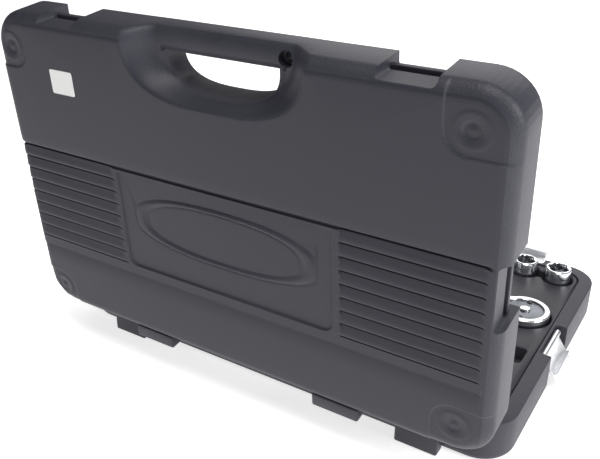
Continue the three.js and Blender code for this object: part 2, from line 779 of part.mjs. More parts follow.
// The lid is modelled closed and swung about the hinge axis.
const hinge = new THREE.Group();
hinge.position.set(0, pivotY, pivotZ);
hinge.rotation.x = THREE.MathUtils.degToRad(lidOpening);
set.add(hinge);
const lid = new THREE.Group();
lid.position.set(0, -pivotY, -pivotZ);
hinge.add(lid);
add('lid_shell', lidShell(), casePlastic, lid);
add('lid_liner', lidLiner(), trayPlastic, lid);
add('label_plate', labelPlate(), labelVinyl, lid);

for (const [s, side] of [[-1, 'left'], [1, 'right']]) {
  const span = [s * (lidBarrel[0] + 0.5), s * (baseBarrel[1] - 0.5)].sort((a, b) => a - b);
  add(`hinge_pin_${side}`, barX(...span, pivotY, pivotZ, hingePinRadius, 12), satinSteel);
}

// Latches: the group turns the pivot's axis to its wall, the mesh carries the opening angle.
function addLatch(name, kind, x, y, turn) {
  const group = new THREE.Group();
  group.position.set(x, y, latchZ);
  group.rotation.z = turn;
  set.add(group);
  const latch = add(`latch_${name}`, latchPlate(kind.width), chrome, group);
  latch.rotation.x = -THREE.MathUtils.degToRad(kind.open);
  const reach = kind.notch / 2 + wall - 0.5;
  add(`latch_pin_${name}`, barX(-reach, reach, 0, 0, latchPinRadius, 10), satinSteel, group);
}

const latchY = caseLength / 2 - latchInset;
const latchX = caseWidth / 2 - latchInset;
addLatch('front_left', frontLatch, -frontLatchX, latchY, 0);
addLatch('front_right', frontLatch, frontLatchX, latchY, 0);
addLatch('side_left', sideLatch, -latchX, sideLatchY, Math.PI / 2);
addLatch('side_right', sideLatch, latchX, sideLatchY, -Math.PI / 2);

const ratchet = new THREE.Group();
ratchet.position.set(ratchetPlace.x, ratchetPlace.y, 0);
set.add(ratchet);
add('ratchet_body', ratchetBody(), chrome, ratchet);
add('ratchet_cover', ratchetCover(), satinSteel, ratchet);
add('ratchet_gear', ratchetGear(), chrome, ratchet);
add('release_button', releaseButton(), chrome, ratchet);
add('detent_ball', detentBall(), satinSteel, ratchet).position.set(driveSquare / 2 - 1.5, 0, ballZ);
add('ratchet_pawl', pawl(), darkSteel, ratchet);
add('direction_lever', directionLever(), chrome, ratchet);
add('pawl_spring', pawlSpring(), satinSteel, ratchet).position.set(-34, 0, (gearBottom + gearTop) / 2);
add('cover_screw_front', coverScrew(), darkSteel, ratchet).position.y = screwRadius;
add('cover_screw_rear', coverScrew(), darkSteel, ratchet).position.y = -screwRadius;

add('sliding_bar', slidingBar(), chrome).position.set(0, bar.y, bar.z);
add('sliding_head', slidingHead(), chrome).position.set(tHead.x, bar.y, 0);
add('extension_long', extensionBar(longExtension.length), chrome).position.set(longExtension.x, extensionY, extensionZ);
add('extension_short', extensionBar(shortExtension.length), chrome).position.set(shortExtension.x, extensionY, extensionZ);
add('drive_adapter', driveAdapter(), chrome).position.set(adapterPlace.x, adapterPlace.y, toolFloor);

for (const { x, y, flats, name } of sockets) {
  add(name, socket(flats), chrome).position.set(x, y, toolFloor);
}

export default set;
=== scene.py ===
"""Socket wrench set in a moulded carrying case, lid standing open, in metres."""

import json
import math

import bmesh
import bpy
from mathutils import Matrix, Vector


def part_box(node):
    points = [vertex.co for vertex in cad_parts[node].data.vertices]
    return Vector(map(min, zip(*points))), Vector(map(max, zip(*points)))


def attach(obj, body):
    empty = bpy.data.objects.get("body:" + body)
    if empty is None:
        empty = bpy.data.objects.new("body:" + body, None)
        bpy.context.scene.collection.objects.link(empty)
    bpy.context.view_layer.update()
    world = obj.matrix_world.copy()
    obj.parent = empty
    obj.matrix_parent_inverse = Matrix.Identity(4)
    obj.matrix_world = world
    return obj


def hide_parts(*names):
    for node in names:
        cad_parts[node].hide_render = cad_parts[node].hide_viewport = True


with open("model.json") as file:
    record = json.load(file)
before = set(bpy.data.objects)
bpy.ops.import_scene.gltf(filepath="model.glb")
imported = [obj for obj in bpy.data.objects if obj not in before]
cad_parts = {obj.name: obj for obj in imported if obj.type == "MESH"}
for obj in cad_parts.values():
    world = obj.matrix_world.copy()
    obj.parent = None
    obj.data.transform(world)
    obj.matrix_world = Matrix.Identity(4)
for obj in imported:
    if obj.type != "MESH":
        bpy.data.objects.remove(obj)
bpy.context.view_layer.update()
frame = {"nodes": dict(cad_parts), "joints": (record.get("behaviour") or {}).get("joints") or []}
scene = bpy.context.scene


# ---------------------------------------------------------------- camera, floor and light
# A three-quarter view from the hinge side, slightly above the open lid, with one large
# soft light from the right, one from above, weak ones from the left and from behind.

camera = bpy.data.objects.new("camera", bpy.data.cameras.new("camera"))
scene.collection.objects.link(camera)
camera.location = (0.42674, -0.82903, 0.59332)
camera.rotation_euler = [math.radians(a) for a in (64.389, 1.137, 34.043)]
camera.data.lens = 49.154
camera.data.shift_x, camera.data.shift_y = 0.0881, -0.0373
scene.camera = camera


def area_light(name, place, aim, size, power):
    light = bpy.data.objects.new(name, bpy.data.lights.new(name, "AREA"))
    scene.collection.objects.link(light)
    light.location = place
    light.rotation_euler = (Vector(place) - Vector(aim)).to_track_quat("Z", "Y").to_euler()
    light.data.shape = "DISK"
    light.data.size = size
    light.data.energy = power


area_light("key_light", (2.3, -0.2, 1.3), (0.0, 0.0, 0.1), 1.5, 38)
area_light("top_light", (0.5, -0.75, 2.3), (0.0, -0.1, 0.1), 1.1, 24)
area_light("fill_light", (-1.4, -2.4, 1.2), (0.0, -0.2, 0.2), 2.0, 2)
area_light("back_light", (-0.25, 2.2, 1.4), (0.2, 0.0, 0.1), 2.6, 26)
scene.view_settings.view_transform = "Standard"

scene.world = bpy.data.worlds.new("white_room")
scene.world.use_nodes = True
background = scene.world.node_tree.nodes["Background"]
background.inputs["Color"].default_value = (1.0, 1.0, 1.0, 1)
background.inputs["Strength"].default_value = 0.14

bm = bmesh.new()
bmesh.ops.create_grid(bm, x_segments=1, y_segments=1, size=6)
floor_mesh = bpy.data.meshes.new("floor")
bm.to_mesh(floor_mesh)
bm.free()
floor = bpy.data.objects.new("floor", floor_mesh)
scene.collection.objects.link(floor)
pale = bpy.data.materials.new("pale_floor")
pale.use_nodes = True
floor_shader = pale.node_tree.nodes["Principled BSDF"]
floor_shader.inputs["Base Color"].default_value = (0.93, 0.93, 0.93, 1)
floor_shader.inputs["Roughness"].default_value = 0.8
floor_shader.inputs["Emission Color"].default_value = (1, 1, 1, 1)
floor_shader.inputs["Emission Strength"].default_value = 0.72
floor_mesh.materials.append(pale)


# ---------------------------------------------------------------- moulded case halves
# The case is two moulded halves of slate grey plastic with a fine spark-eroded grain.
# Each half is made by heights above the plane where the halves meet, in millimetres.

case_width, case_length = 560, 366
corner, wall, rim = 38, 3, 16
seam, base_depth = 0.5, 48

front_latch_x, front_notch = 187, 51
side_latch_y, side_notch = 1, 66
notch_depth, shallow_notch = 13.5, 8

grip_half, grip_bar, grip_opening, grip_height = 62, 22, 37, 28
scoop_half, scoop_reach = 104, 67
handle_zone_half, handle_zone_y = 109, 114
eye_x, eye_y = 70, case_length / 2 - 12
eye_radius, eye_sink, eye_land = 4.5, 7.5, 20

latch_pin_z, hook_low, catch_gap = base_depth - 6, 23.8, 0.6
hinge_back, hinge_pin_radius = 7, 2.6


def plan(inset, arc=10):
    """The case's outline, drawn in by inset, as points in order."""
    x, y = case_width / 2 - inset, case_length / 2 - inset
    radius = max(corner - inset, 4)
    points = []
    for turn, (sx, sy) in enumerate(((1, -1), (1, 1), (-1, 1), (-1, -1))):
        for i in range(arc + 1):
            angle = (turn - 1 + i / arc) * math.pi / 2
            centre = (sx * (x - radius), sy * (y - radius))
            points.append((centre[0] + radius * math.cos(angle), centre[1] + radius * math.sin(angle)))
    return points


def stacked(outline, levels):
    """A closed form through outline(offset) at each (offset, height), with rings that match."""
    bm = bmesh.new()
    place = bm.verts.layers.int.new("place")
    face = bm.faces.new([bm.verts.new((x, y, levels[0][1])) for x, y in outline(levels[0][0])])
    for i, v in enumerate(face.verts):
        v[place] = i
    for offset, height in levels[1:]:
        points = outline(offset)
        grown = bmesh.ops.extrude_face_region(bm, geom=[face, *face.edges, *face.verts])["geom"]
        face = next(f for f in grown if isinstance(f, bmesh.types.BMFace))
        for v in face.verts:
            v.co = (*points[v[place]], height)
    bmesh.ops.recalc_face_normals(bm, faces=bm.faces)
    return bm


def prism(points, low, high):
    """An upright prism over an outline."""
    return stacked(lambda offset: points, ((0, low), (0, high)))


def rounding(radius, segments, top):
    """Levels of a rounded upper edge: offsets fall by radius while heights rise by it."""
    angles = [math.pi / 2 * i / segments for i in range(segments + 1)]
    return [(radius * (math.cos(a) - 1), top - radius + radius * math.sin(a)) for a in angles]


def block(x0, x1, y0, y1, z0, z1, edge=0.0, segments=3):
    """A box between corners, with rounded edges where edge isn't 0."""
    bm = bmesh.new()
    bmesh.ops.create_cube(bm, size=1)
    bmesh.ops.scale(bm, verts=bm.verts, vec=(abs(x1 - x0), abs(y1 - y0), abs(z1 - z0)))
    bmesh.ops.translate(bm, verts=bm.verts, vec=((x0 + x1) / 2, (y0 + y1) / 2, (z0 + z1) / 2))
    if edge:
        bmesh.ops.bevel(bm, geom=bm.edges[:], offset=edge, offset_type="OFFSET", segments=segments,
                        profile=0.5, affect="EDGES", material=-1)
    return bm


def crowned(inset, low, high, edge, segments):
    """A half's form: straight walls, a rounded outer edge and a small round at the seam."""
    foot = ((-1.2, low), (-0.7, low + 0.15), (-0.25, low + 0.5), (0, low + 1.2))
    return stacked(lambda offset: plan(inset - offset), [*foot, *rounding(edge, segments, high)])


def combine(bm, others, operation):
    """Cut closed solids from bm, join them to it or keep what they share."""
    def as_object(mesh_source, collection):
        mesh = bpy.data.meshes.new("scratch")
        mesh_source.to_mesh(mesh)
        mesh_source.free()
        made = bpy.data.objects.new("scratch", mesh)
        collection.objects.link(made)
        return made

    tools = bpy.data.collections.new("scratch_tools")
    scene.collection.children.link(tools)
    target = as_object(bm, scene.collection)
    used = [as_object(other, tools) for other in others]
    modifier = target.modifiers.new("combine", "BOOLEAN")
    modifier.operation = operation
    modifier.solver = "MANIFOLD"
    modifier.operand_type = "COLLECTION"
    modifier.collection = tools
    graph = bpy.context.evaluated_depsgraph_get()
    mesh = bpy.data.meshes.new_from_object(target.evaluated_get(graph))
    result = bmesh.new()
    result.from_mesh(mesh)
    for scratch in [target, *used]:
        data = scratch.data
        bpy.data.objects.remove(scratch)
        bpy.data.meshes.remove(data)
    bpy.data.meshes.remove(mesh)
    bpy.data.collections.remove(tools)
    bmesh.ops.remove_doubles(result, verts=result.verts, dist=0.005)
    bmesh.ops.dissolve_degenerate(result, edges=result.edges, dist=0.005)
    return result


def slice_region(bm, axis, places, low=(-999, -999), high=(999, 999)):
    """Cut lines across the faces inside a rectangle, at right angles to an axis."""
    geom = set()
    for f in bm.faces:
        middle = f.calc_center_bounds()
        if middle.z > 0.1 and all(low[i] - 0.01 <= middle[i] <= high[i] + 0.01 for i in (0, 1)):
            geom.update((f, *f.edges, *f.verts))
    geom = list(geom)
    normal = (1, 0, 0) if axis == 0 else (0, 1, 0)
    for place in places:
        point = (place, 0, 0) if axis == 0 else (0, place, 0)
        cut = bmesh.ops.bisect_plane(bm, geom=geom, dist=0.001, plane_co=point, plane_no=normal)
        geom = cut["geom"]


def spaced(start, end, step):
    """Even places from start to end, about a step apart."""
    count = max(1, round((end - start) / step))
    return [start + (end - start) * i / count for i in range(count + 1)]


def fine_region(bm, x0, x1, y0, y1, step):
    """Give a rectangle of the face a fine square grid."""
    slice_region(bm, 0, (x0, x1))
    slice_region(bm, 1, (y0, y1))
    slice_region(bm, 0, spaced(x0, x1, step), (x0, y0), (x1, y1))
    slice_region(bm, 1, spaced(y0, y1, step), (x0, y0), (x1, y1))


def ease(value, start, end):
    """0 before start, 1 after end and a soft step between."""
    t = min(max((value - start) / (end - start), 0), 1)
    return t * t * (3 - 2 * t)


def oval(x, y, half_width, depth, power=2.8):
    """Below 1 inside a full curve that reaches depth under y = 0."""
    return ((abs(x) / half_width) ** power + (max(-y, 0) / depth) ** power) ** (1 / power)


def d_outline(half_width, straight_y, depth, steps=36, power=2.8):
    """A straight side towards the front and a full curve behind it."""
    points = []
    for i in range(steps + 1):
        angle = math.pi * i / steps
        c, s = math.cos(angle), math.sin(angle)
        x = -math.copysign(abs(c) ** (2 / power), c) * half_width
        points.append((x, straight_y - abs(s) ** (2 / power) * depth))
    return points


front = case_length / 2
straight = front - grip_bar


def scoop_share(x, y, depth):
    """How much of the half's depth is left above a point of the plan, around the grip."""
    if abs(x) > scoop_half + 3 or y < front - scoop_reach - 3:
        return 1.0
    low, high = 0.0, 1.0
    for _ in range(12):
        t = (low + high) / 2
        across = grip_half + 12 + (scoop_half - grip_half - 12) * t
        reach = scoop_reach - 11 + 13 * t
        if oval(x, y - front - 2, across, reach) > 1:
            low = t
        else:
            high = t
    t = ease((low + high) / 2, 0.0, 1.0)
    share = grip_height / depth + (1 - grip_height / depth) * t
    away = y - straight
    if away <= 0:
        away = (oval(x, away, grip_half, grip_opening) - 1) * grip_opening
    if abs(x) < grip_half + 8:
        share -= 2.6 * (1 - ease(away, -0.5, 6)) / depth
    return share


def notch_tools(grow, deep_to, full_to, edge):
    """What the latches sink into: a deep pocket at the seam and a shallow one above it."""
    tools = []
    for sink, top in ((notch_depth + grow, deep_to + grow), (shallow_notch + grow, full_to)):
        for s in (-1, 1):
            x, reach = s * front_latch_x, front_notch / 2 + grow
            tools.append(block(x - reach, x + reach, front - sink, front + 20, -8, top, edge))
            side, reach = case_width / 2, side_notch / 2 + grow
            y0, y1 = side_latch_y - reach, side_latch_y + reach
            tools.append(block(s * (side - sink), s * (side + 20), y0, y1, -8, top, edge))
    return tools


def disc_points(x, y, radius, steps=48):
    """Points round a circle."""
    turn = [2 * math.pi * i / steps for i in range(steps)]
    return [(x + radius * math.cos(a), y + radius * math.sin(a)) for a in turn]


def disc(x, y, radius, low, high, steps=32):
    """An upright cylinder."""
    return prism(disc_points(x, y, radius, steps), low, high)


def mouth(gap, low, high):
    """The rim's inner outline, which stops short of the grip."""
    opening = prism(plan(rim + gap), low, high)
    zone = handle_zone_half + gap
    return combine(opening, [block(-zone, zone, handle_zone_y - gap, 400, low - 1, high + 1)], "DIFFERENCE")


def case_half(depth, edge, face, deep_to, shape_face):
    """One moulded half above its seam plane, hollow and open at its mouth."""
    bm = crowned(0, 0, depth, edge, 8)
    fine_region(bm, -scoop_half - 6, scoop_half + 6, front - scoop_reach - 4, front + 1, 1.6)
    shape_face(bm)
    for v in bm.verts:
        if v.co.z > 0.01:
            v.co.z *= scoop_share(v.co.x, v.co.y, depth)
    through = d_outline(grip_half, straight, grip_opening)
    tools = notch_tools(0, deep_to, depth + 20, 4)
    top = depth + 1
    tools += [prism(through, -2, top), disc(eye_x, eye_y, eye_radius, -2, top),
              disc(eye_x, eye_y, eye_sink, eye_land, top)]
    hollow = crowned(wall, wall, depth - face, edge - wall, 4)
    around_scoop = d_outline(scoop_half + wall, front + 3, scoop_reach + wall)
    around_grip = d_outline(grip_half + wall, straight + wall, grip_opening + 2 * wall)
    keep = notch_tools(wall - 0.5, deep_to, depth + 20, 0)
    keep += [prism(around_scoop, grip_height - wall - 5, top), prism(around_grip, -2, top),
             disc(eye_x, eye_y, eye_sink + wall, -2, top)]
    tools += [combine(hollow, keep, "DIFFERENCE"), mouth(0, -1, wall + 1)]
    return combine(bm, tools, "DIFFERENCE")


def finish_piece(name, bm, materials, body, nodes, turn=None, smooth=35):
    """Put a mesh in millimetres on its body, in metres, for the CAD nodes that it stands for."""
    if turn is not None:
        bmesh.ops.transform(bm, matrix=turn, verts=bm.verts)
    bmesh.ops.scale(bm, vec=(0.001, 0.001, 0.001), verts=bm.verts)
    for f in bm.faces:
        f.smooth = True
    mesh = bpy.data.meshes.new(name)
    bm.to_mesh(mesh)
    bm.free()
    mesh.set_sharp_from_angle(angle=math.radians(smooth))
    for material in materials:
        mesh.materials.append(material)
    piece = bpy.data.objects.new(name, mesh)
    scene.collection.objects.link(piece)
    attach(piece, body)
    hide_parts(*nodes)
    return piece


def shader_group(name, inputs, outputs):
    """A node group with its sockets, and its input and output nodes."""
    group = bpy.data.node_groups.new(name, "ShaderNodeTree")
    for key, value in inputs.items():
        kind = "NodeSocketFloat" if isinstance(value, float) else "NodeSocketColor"
        group.interface.new_socket(key, in_out="INPUT", socket_type=kind).default_value = value
    for key in outputs:
        kind = "NodeSocketColor" if key == "Colour" else "NodeSocketFloat"
        group.interface.new_socket(key, in_out="OUTPUT", socket_type=kind)
    return group, group.nodes.new("NodeGroupInput"), group.nodes.new("NodeGroupOutput")


def add_node(tree, kind, **values):
    """A shader node with some of its inputs set: From_Min stands for From Min."""
    node = tree.nodes.new("ShaderNode" + kind)
    for key, value in values.items():
        node.inputs[key.replace("_", " ")].default_value = value
    return node


def grain_group():
    """Fine moulded grain: a height for bump, a slow tone variation and a roughness."""
    group, inputs, outputs = shader_group(
        "moulded_grain",
        {"Grain size": 900.0, "Tone": 0.2, "Base": (0.07, 0.07, 0.09, 1), "Worn": (0.1, 0.1, 0.12, 1)},
        ("Colour", "Height", "Roughness"))
    links = group.links
    where = add_node(group, "TexCoord")
    grain = add_node(group, "TexNoise", Detail=3)
    pits = add_node(group, "TexVoronoi")
    slow = add_node(group, "TexNoise", Scale=9, Detail=5)
    for texture in (grain, pits, slow):
        links.new(where.outputs["Object"], texture.inputs["Vector"])
    links.new(inputs.outputs["Grain size"], grain.inputs["Scale"])
    links.new(inputs.outputs["Grain size"], pits.inputs["Scale"])
    height = add_node(group, "Math")
    height.operation = "ADD"
    links.new(grain.outputs["Fac"], height.inputs[0])
    links.new(pits.outputs["Distance"], height.inputs[1])
    links.new(height.outputs[0], outputs.inputs["Height"])
    speck = add_node(group, "MapRange", From_Min=0.35, From_Max=0.75)
    links.new(grain.outputs["Fac"], speck.inputs["Value"])
    patch = add_node(group, "MapRange", From_Min=0.35, From_Max=0.7)
    links.new(slow.outputs["Fac"], patch.inputs["Value"])
    both = add_node(group, "Math")
    both.operation = "MULTIPLY_ADD"
    both.inputs[1].default_value = 0.5
    links.new(speck.outputs["Result"], both.inputs[0])
    links.new(patch.outputs["Result"], both.inputs[2])
    amount = add_node(group, "Math")
    amount.operation = "MULTIPLY"
    amount.use_clamp = True
    links.new(both.outputs[0], amount.inputs[0])
    links.new(inputs.outputs["Tone"], amount.inputs[1])
    colour = add_node(group, "Mix")
    colour.data_type = "RGBA"
    links.new(amount.outputs[0], colour.inputs["Factor"])
    links.new(inputs.outputs["Base"], colour.inputs["A"])
    links.new(inputs.outputs["Worn"], colour.inputs["B"])
    links.new(colour.outputs["Result"], outputs.inputs["Colour"])
    rough = add_node(group, "MapRange", To_Min=0.42, To_Max=0.58)
    links.new(slow.outputs["Fac"], rough.inputs["Value"])
    links.new(rough.outputs["Result"], outputs.inputs["Roughness"])
    return group


moulded_grain = grain_group()


def plastic(name, base, worn, grain_size, depth, tone=0.5):
    """Slate plastic with the shared grain at its own size and depth."""
    material = bpy.data.materials.new(name)
    material.use_nodes = True
    nodes, links = material.node_tree.nodes, material.node_tree.links
    shader = nodes["Principled BSDF"]
    grain = nodes.new("ShaderNodeGroup")
    grain.node_tree = moulded_grain
    grain.inputs["Grain size"].default_value = grain_size
    grain.inputs["Tone"].default_value = tone
    grain.inputs["Base"].default_value = (*base, 1)
    grain.inputs["Worn"].default_value = (*worn, 1)
    bump = add_node(material.node_tree, "Bump", Distance=depth, Strength=1.0)
    links.new(grain.outputs["Height"], bump.inputs["Height"])
    links.new(bump.outputs["Normal"], shader.inputs["Normal"])
    links.new(grain.outputs["Colour"], shader.inputs["Base Color"])
    links.new(grain.outputs["Roughness"], shader.inputs["Roughness"])
    return material


face_plastic = plastic("case_face", (0.0155, 0.0155, 0.0265), (0.028, 0.028, 0.042), 700, 0.00003, 0.35)
side_plastic = plastic("case_sides", (0.022, 0.022, 0.034), (0.048, 0.048, 0.063), 620, 0.00014, 0.6)


# ---------------------------------------------------------------- lid shell
# The deep half of the case. Its outer face carries a smooth upper zone, two blocks of
# sloping louvres, a sunk centre panel with an oval outline and four corner pads.

lid_depth, lid_edge = 50, 15
hinge = next(j for j in frame["joints"] if j["name"] == "lid_hinge")
pivot = Vector(hinge["pos_m"]) * 1000
swing = (
    Matrix.Translation(pivot)
    @ Matrix.Rotation(math.radians(-hinge["range_deg"][0]), 4, Vector(hinge["axis"]))
    @ Matrix.Translation(-pivot)
    @ Matrix.Translation((0, 0, base_depth + seam))
)
foot_reach, barrel_radius, lid_barrel = 14, 6.5, (92, 145)

step_y, band_y = 32, -88
louvres, louvre_pitch = 8, 15
left_block, right_block = (-269, -141), (130, 262)
panel_x, panel_y = (-134, 122), (-88, 28)
oval_at, oval_half, oval_groove = (-4, -21.5), (103, 30.5), 3.2
pads = ((-256, -159), (245, -148), (243, 147), (-256, 147))
pad_reach, pad_sink, pad_ring = 23, 1.5, 14.2
band_end, band_fade = 264, 270
louvre_line = ((0, 4.8), (0.35, 4.3), (0.8, 1.6), (1.4, 0.5), (2.4, 0.1), (4.4, 0.2), (6.6, 0.8),
               (9.0, 1.6), (11.5, 2.2), (13.3, 2.7), (13.9, 4.3), (14.3, 4.8), (15, 4.8))


def follow(line, value):
    """The height at a place along a line of (place, height) points."""
    for (a, low), (b, high) in zip(line, line[1:]):
        if value <= b:
            return low + (high - low) * (value - a) / (b - a)
    return line[-1][1]


zone_line = ((-999, 1.3), (-102.4, 1.3), (-101.2, 1.9), (-100.2, 1.9), (-99.2, 0.5), (30.0, 0.5),
             (30.6, 2.8), (32.2, 3.4), (33.1, 1.7), (34.4, 0.6), (37, 0.1), (44, 0), (999, 0))


def lid_sink(x, y):
    """How far the outer face lies under its highest level."""
    sink = follow(zone_line, y)
    if x > band_end:
        sink *= 1 - ease(x, band_end, band_fade)
    if band_y < y < step_y + 0.1:
        for (x0, x1), fade in ((left_block, 5), (right_block, 0.5)):
            inside = ease(x, x0 - fade, x0 + 0.5) * (1 - ease(x, x1 - 0.5, x1 + 4))
            sink = sink + (follow(louvre_line, (y - band_y) % louvre_pitch) - sink) * inside
    across = max(panel_x[0] - x, x - panel_x[1])
    along = max(panel_y[0] - y, y - panel_y[1])
    if along < 2 and across < 2:
        round_in = 12 if y < -60 else 3
        dx, dy = max(across + round_in, 0), max(along + round_in, 0)
        edge = math.hypot(dx, dy) - round_in
        sink += 2.3 * (1 - ease(edge, -1.4, 0.2))
        ring = oval((x - oval_at[0]), -abs(y - oval_at[1]), *oval_half, 2.4)
        off = abs(ring - 1) * oval_half[1]
        sink -= 1.5 * (1 - ease(off, 0.5, 2.6)) - 0.5 * (1 - ease(abs(off - oval_groove), 0.2, 1.0))
    for px, py in pads:
        u, v = math.copysign(1, px) * (x - px), math.copysign(1, py) * (y - py)
        edge = pad_reach - math.hypot(min(u, 0), min(v, 0))
        sink += pad_sink * ease(edge, -0.6, 1.2)
        r = math.hypot(u, v)
        if r < 20:
            ring = -0.6 * (1 - ease(abs(r - pad_ring), 0.6, 3.4))
            dimple = 2.0 * (1 - ease(r, 6.0, 10.5))
            sink += ring + dimple - 1.1 * (1 - ease(r, 0, 6))
    return sink


def shape_lid_face(bm):
    """Cut the face into fine faces where its relief needs them, then sink it."""
    slice_region(bm, 0, (-274, -272.6, -271.2, -269.8, -268.5, -141.5, -140.5, -134.2, -133.4, -132.6,
                         120.6, 121.4, 122.2, 129.5, 130.5, 261.5, 266, 268, 270))
    slice_region(bm, 1, [y for y, _ in zone_line[1:-1]])
    ribs = [band_y + i * louvre_pitch + t for i in range(louvres) for t, _ in louvre_line[:-1]]
    for x0, x1 in (left_block, right_block):
        slice_region(bm, 1, ribs, (x0 - 8, band_y), (x1 + 9, step_y))
    slice_region(bm, 1, (-89.4, -88.8, -88.2, -87.4, -86.6, 26.6, 27.4, 28.2))
    for x0, x1 in ((-135, -121), (109, 123)):
        fine_region(bm, x0, x1, -89, -75, 1.2)
    fine_region(bm, oval_at[0] - oval_half[0] - 6, oval_at[0] + oval_half[0] + 6,
                oval_at[1] - oval_half[1] - 6, oval_at[1] + oval_half[1] + 6, 1.0)
    for px, py in pads:
        sx, sy = math.copysign(1, px), math.copysign(1, py)
        x0, x1 = sorted((px - sx * (pad_reach + 2), sx * case_width / 2))
        y0, y1 = sorted((py - sy * (pad_reach + 2), sy * case_length / 2))
        fine_region(bm, x0, x1, y0, y1, 1.3)
    for v in bm.verts:
        lift = ease(v.co.z, lid_depth - lid_edge, lid_depth - 2)
        if lift > 0:
            v.co.z -= lid_sink(v.co.x, v.co.y) * lift


def rod_along_x(x0, x1, y, z, radius, segments):
    """A plain round rod along X."""
    rod = bmesh.new()
    bmesh.ops.create_cone(rod, cap_ends=True, segments=segments, radius1=radius, radius2=radius,
                          depth=abs(x1 - x0))
    bmesh.ops.rotate(rod, verts=rod.verts, matrix=Matrix.Rotation(math.pi / 2, 3, "Y"))
    bmesh.ops.translate(rod, verts=rod.verts, vec=((x0 + x1) / 2, y, z))
    return rod


def rear_blocks(foot, foot_low, foot_high, barrel):
    """Feet that the closed case stands on and hinge barrels, on both sides of the middle."""
    made = []
    rear = -case_length / 2
    axis_y = rear - hinge_back
    for s in (-1, 1):
        made.append(block(s * foot[0], s * foot[1], rear - foot_reach, rear + 2, foot_low, foot_high, 2.2))
        made.append(rod_along_x(s * barrel[0], s * barrel[1], axis_y, -seam / 2, barrel_radius, 32))
        made.append(block(s * barrel[0], s * barrel[1], axis_y, rear + 1, 0.3, barrel_radius - 0.3))
    return made


def pin_holes():
    """Bores for both hinge pins, longer than the barrels."""
    return [rod_along_x(s * 91, s * 218, -case_length / 2 - hinge_back, -seam / 2, hinge_pin_radius, 24)
            for s in (-1, 1)]


lid = case_half(lid_depth, lid_edge, 5.5, 24, shape_lid_face)
catch_top = latch_pin_z + hook_low - catch_gap - base_depth - seam
catch_low = catch_top - 6
catches = []
for s in (-1, 1):
    x = s * front_latch_x
    catches.append(block(x - 26, x + 26, front - notch_depth - 1, front - 6.5, catch_low, catch_top, 0.8))
    x0, x1 = s * (case_width / 2 - notch_depth - 1), s * (case_width / 2 - 6.5)
    catches.append(block(x0, x1, side_latch_y - 33.5, side_latch_y + 33.5, catch_low, catch_top, 0.8))
lid = combine(lid, catches + rear_blocks(lid_barrel, lid_depth - 34, lid_depth - 6, lid_barrel), "UNION")
lid = combine(lid, pin_holes(), "DIFFERENCE")
for f in lid.faces:
    place = f.calc_center_median()
    f.material_index = 0 if place.z > lid_depth - 4.5 and f.normal.z > 0.9 else 1
finish_piece("lid_shell_moulding", lid, [face_plastic, side_plastic], "lid", ["lid_shell"], swing)


# ---------------------------------------------------------------- base shell
# The shallow half that lies on the floor. It has the same rim, latch notches and grip as
# the lid, plainer outside, with its feet at floor level and its hinge knuckles outside
# the lid's.

base_edge, base_barrel, base_foot = 9, (149, 217), (170, 217)
upside_down = Matrix.Translation((0, 0, base_depth)) @ Matrix.Diagonal((1, 1, -1, 1))


def shape_base_floor(bm):
    """Sink the corner pads into the underside."""
    for v in bm.verts:
        if v.co.z > base_depth - 2:
            for px, py in pads:
                u, w = math.copysign(1, px) * (v.co.x - px), math.copysign(1, py) * (v.co.y - py)
                v.co.z -= 0.8 * ease(pad_reach - math.hypot(min(u, 0), min(w, 0)), -0.6, 1.2)


base = case_half(base_depth, base_edge, wall, base_depth + 20, shape_base_floor)
base = combine(base, rear_blocks(base_foot, base_depth - 26, base_depth - 0.2, base_barrel), "UNION")
base = combine(base, pin_holes(), "DIFFERENCE")
bmesh.ops.reverse_faces(base, faces=base.faces)
finish_piece("base_shell_moulding", base, [side_plastic], "base", ["base_shell"], upside_down)


# ---------------------------------------------------------------- lid liner
# A thin dished tray that closes the lid's mouth and clears the tools, in the same grey
# plastic with a finer grain, snapped in behind the rim.

tray_plastic = plastic("tray_plastic", (0.026, 0.026, 0.034), (0.048, 0.048, 0.058), 800, 0.00009, 0.5)
dish_depth, tray_wall, fit_gap = 22, 2.4, 0.4


def rounded_rectangle(x0, x1, y0, y1, radius, arc=6):
    points = []
    for turn, (cx, cy) in enumerate(((x1, y0), (x1, y1), (x0, y1), (x0, y0))):
        cx += -radius if turn in (0, 1) else radius
        cy += radius if turn in (0, 3) else -radius
        for i in range(arc + 1):
            angle = (turn - 1 + i / arc) * math.pi / 2
            points.append((cx + radius * math.cos(angle), cy + radius * math.sin(angle)))
    return points


def mouth_form(gap, low, high, edge):
    """The mouth as a solid with its far edge rounded."""
    form = stacked(lambda offset: plan(rim + gap - offset), [(0, low), *rounding(edge, 5, high)])
    zone = handle_zone_half + gap
    keep_out = rounded_rectangle(-zone, zone, handle_zone_y - gap, 400, 9)
    bar = stacked(lambda offset: [(x * (1 - offset / zone), y - offset) for x, y in keep_out],
                  [(0, low - 1), (0, high - edge), (edge * 0.4, high - edge * 0.3), (edge * 1.3, high + 1)])
    return combine(form, [bar], "DIFFERENCE")


liner = combine(mouth_form(fit_gap, 0.3, dish_depth + tray_wall, 8),
                [mouth_form(3 + fit_gap, -1, dish_depth, 7)], "DIFFERENCE")
finish_piece("lid_liner_moulding", liner, [tray_plastic], "lid", ["lid_liner"], swing)


# ---------------------------------------------------------------- label
# A small white vinyl label on the lid's upper zone, left blank, with rounded corners.

label_x, label_y, label_width, label_height = -187, 117, 31, 26
vinyl = plastic("label_vinyl", (0.86, 0.86, 0.85), (0.80, 0.80, 0.79), 300, 0.00001, 0.4)


def label_outline(offset):
    w, h = label_width / 2 + offset, label_height / 2 + offset
    return rounded_rectangle(label_x - w, label_x + w, label_y - h, label_y + h, 2.2 + offset, 4)


